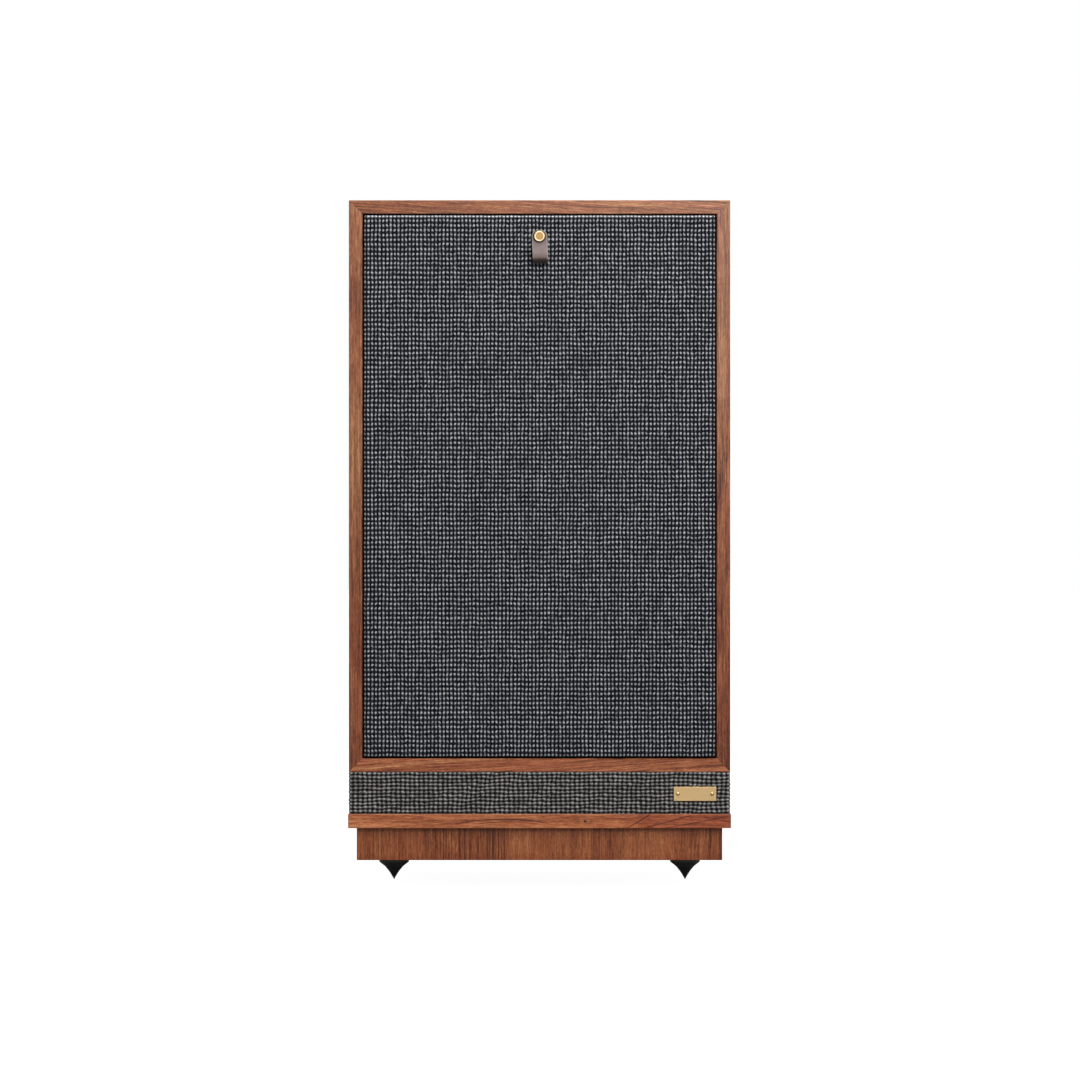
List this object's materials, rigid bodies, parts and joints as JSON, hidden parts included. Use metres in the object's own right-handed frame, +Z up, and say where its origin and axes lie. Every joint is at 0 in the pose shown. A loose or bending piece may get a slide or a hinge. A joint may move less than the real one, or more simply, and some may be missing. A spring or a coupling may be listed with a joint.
{
  "type": "floorstanding speaker",
  "caption": "Floorstanding loudspeaker with a walnut cabinet, pull-off cloth grille, coaxial driver, cloth-covered downward vent, recessed plinth and adjustable spikes.",
  "frame": {"origin": "on the floor under the middle of the whole object's box, at the height of the spike tips", "axes": "+Z up, -Y is the front with the grille, +X is to the right seen from the front"},
  "size_m": [0.482, 0.4166, 0.8588],
  "materials": {
    "walnut_base": "satin oiled solid walnut",
    "knob_black": "moulded, clear cap",
    "gold_plate": "gold-plated brass",
    "walnut_cabinet": "satin oiled walnut veneer",
    "steel_zinc": "zinc plated",
    "spider_cloth": "resin-stiffened cloth",
    "surround_rubber": "matt",
    "bare_board": "bare board",
    "board_fibre": "glass-fibre board",
    "cap_film": "film capacitor",
    "coil_copper": "enamelled copper",
    "resistor_cement": "cement",
    "port_plastic": "moulded",
    "basket_alloy": "black coated casting",
    "bolt_black": "black oxide",
    "gasket_foam": "foam",
    "black_board": "black painted board",
    "grille_fabric": "thick slubby blue-grey weave",
    "magnet_nickel": "nickel plated",
    "wire_pvc": "PVC insulation",
    "magnet_ferrite": "ferrite",
    "brass": "brushed brass",
    "walnut_plinth": "satin oiled walnut",
    "collar_plastic": "moulded",
    "tab_leather": "matt mauve-brown leather",
    "pad_felt": "loose polyester wadding",
    "knob_red": "moulded, clear cap",
    "spike_black": "satin black",
    "plate_black": "satin black anodised",
    "dome_alloy": "bright",
    "horn_plastic": "moulded",
    "tweeter_housing": "black",
    "vent_fabric": "thick slubby grey weave",
    "coil_former": "wound former",
    "cone_paper": "pulp"
  },
  "bodies": {
    "cabinet": {"base_board": "walnut_base", "bottom_panel": "walnut_cabinet", "cabinet_bolts": "steel_zinc", "cone_spider": "spider_cloth", "cone_surround": "surround_rubber", "corner_spacers": "bare_board", "crossover_board": "board_fibre", "crossover_capacitors": "cap_film", "crossover_inductors": "coil_copper", "crossover_resistors": "resistor_cement", "diffuser_cone": "port_plastic", "driver_basket": "basket_alloy", "driver_bolts": "bolt_black", "driver_gasket": "gasket_foam", "front_baffle": "black_board", "internal_wiring": "wire_pvc", "left_side_panel": "walnut_cabinet", "magnet_ring": "magnet_ferrite", "magnet_strike_discs": "steel_zinc", "magnet_top_plate": "steel_zinc", "nameplate": "brass", "nameplate_pins": "brass", "plinth_corner_blocks": "bare_board", "plinth_front": "walnut_plinth", "plinth_left": "walnut_plinth", "plinth_rear": "walnut_plinth", "plinth_right": "walnut_plinth", "pole_piece": "steel_zinc", "port_tube": "port_plastic", "post_collars": "collar_plastic", "post_studs": "gold_plate", "rear_damping_pad": "pad_felt", "rear_panel": "walnut_cabinet", "right_side_panel": "walnut_cabinet", "side_damping_pads": "pad_felt", "spike_inserts": "steel_zinc", "terminal_plate": "plate_black", "terminal_plate_screws": "bolt_black", "top_panel": "walnut_cabinet", "tweeter_horn": "horn_plastic", "tweeter_magnet": "tweeter_housing", "vent_cloth": "vent_fabric", "vent_frame": "black_board", "window_braces": "bare_board"},
    "grille": {"grille_frame": "black_board", "grille_magnets": "magnet_nickel", "grille_cloth": "grille_fabric", "tab_stud": "brass"},
    "pull_tab": {"pull_tab": "tab_leather"},
    "cone": {"woofer_cone": "cone_paper", "voice_coil": "coil_former"},
    "tweeter_dome": {"tweeter_diaphragm": "dome_alloy"},
    "spike_front_left": {"spike_front_left": "spike_black"},
    "spike_front_right": {"spike_front_right": "spike_black"},
    "spike_rear_left": {"spike_rear_left": "spike_black"},
    "spike_rear_right": {"spike_rear_right": "spike_black"},
    "black_washer": {"black_post_washer": "gold_plate"},
    "black_knob": {"black_post_knob": "knob_black"},
    "red_washer": {"red_post_washer": "gold_plate"},
    "red_knob": {"red_post_knob": "knob_red"}
  },
  "joints": [
    {"name": "grille_pull_off", "type": "slide", "parent": "cabinet", "child": "grille", "axis": [0, -1, 0], "range_m": [0, 0.12]},
    {"name": "pull_tab_turn", "type": "hinge", "parent": "grille", "child": "pull_tab", "pos_m": [0, -0.19795, 0.8128], "axis": [0, 1, 0], "range_deg": [-45, 45]},
    {"name": "cone_stroke", "type": "slide", "parent": "cabinet", "child": "cone", "axis": [0, -1, 0], "range_m": [-0.006, 0.006], "stiffness_N_per_m": 1500, "deforming": ["cone_surround", "cone_spider"]},
    {"name": "tweeter_stroke", "type": "slide", "parent": "cabinet", "child": "tweeter_dome", "axis": [0, -1, 0], "range_m": [-0.0003, 0.0003], "stiffness_N_per_m": 50},
    {"name": "spike_front_left_height", "type": "slide", "parent": "cabinet", "child": "spike_front_left", "axis": [0, 0, -1], "range_m": [0, 0.01]},
    {"name": "spike_front_right_height", "type": "slide", "parent": "cabinet", "child": "spike_front_right", "axis": [0, 0, -1], "range_m": [0, 0.01]},
    {"name": "spike_rear_left_height", "type": "slide", "parent": "cabinet", "child": "spike_rear_left", "axis": [0, 0, -1], "range_m": [0, 0.01]},
    {"name": "spike_rear_right_height", "type": "slide", "parent": "cabinet", "child": "spike_rear_right", "axis": [0, 0, -1], "range_m": [0, 0.01]},
    {"name": "black_washer_travel", "type": "slide", "parent": "cabinet", "child": "black_washer", "axis": [0, 1, 0], "range_m": [0, 0.00625]},
    {"name": "black_knob_turn", "type": "hinge", "parent": "black_washer", "child": "black_knob", "pos_m": [-0.019, 0.20005, 0.2308], "axis": [0, 1, 0], "range_deg": [0, 1802]},
    {"name": "red_washer_travel", "type": "slide", "parent": "cabinet", "child": "red_washer", "axis": [0, 1, 0], "range_m": [0, 0.00625]},
    {"name": "red_knob_turn", "type": "hinge", "parent": "red_washer", "child": "red_knob", "pos_m": [0.019, 0.20005, 0.2308], "axis": [0, 1, 0], "range_deg": [0, 1802]}
  ],
  "couplings": [
    {"joint": "black_knob_turn", "follows": "black_washer_travel", "rad_per_m": 5026.5},
    {"joint": "red_knob_turn", "follows": "red_washer_travel", "rad_per_m": 5026.5}
  ]
}
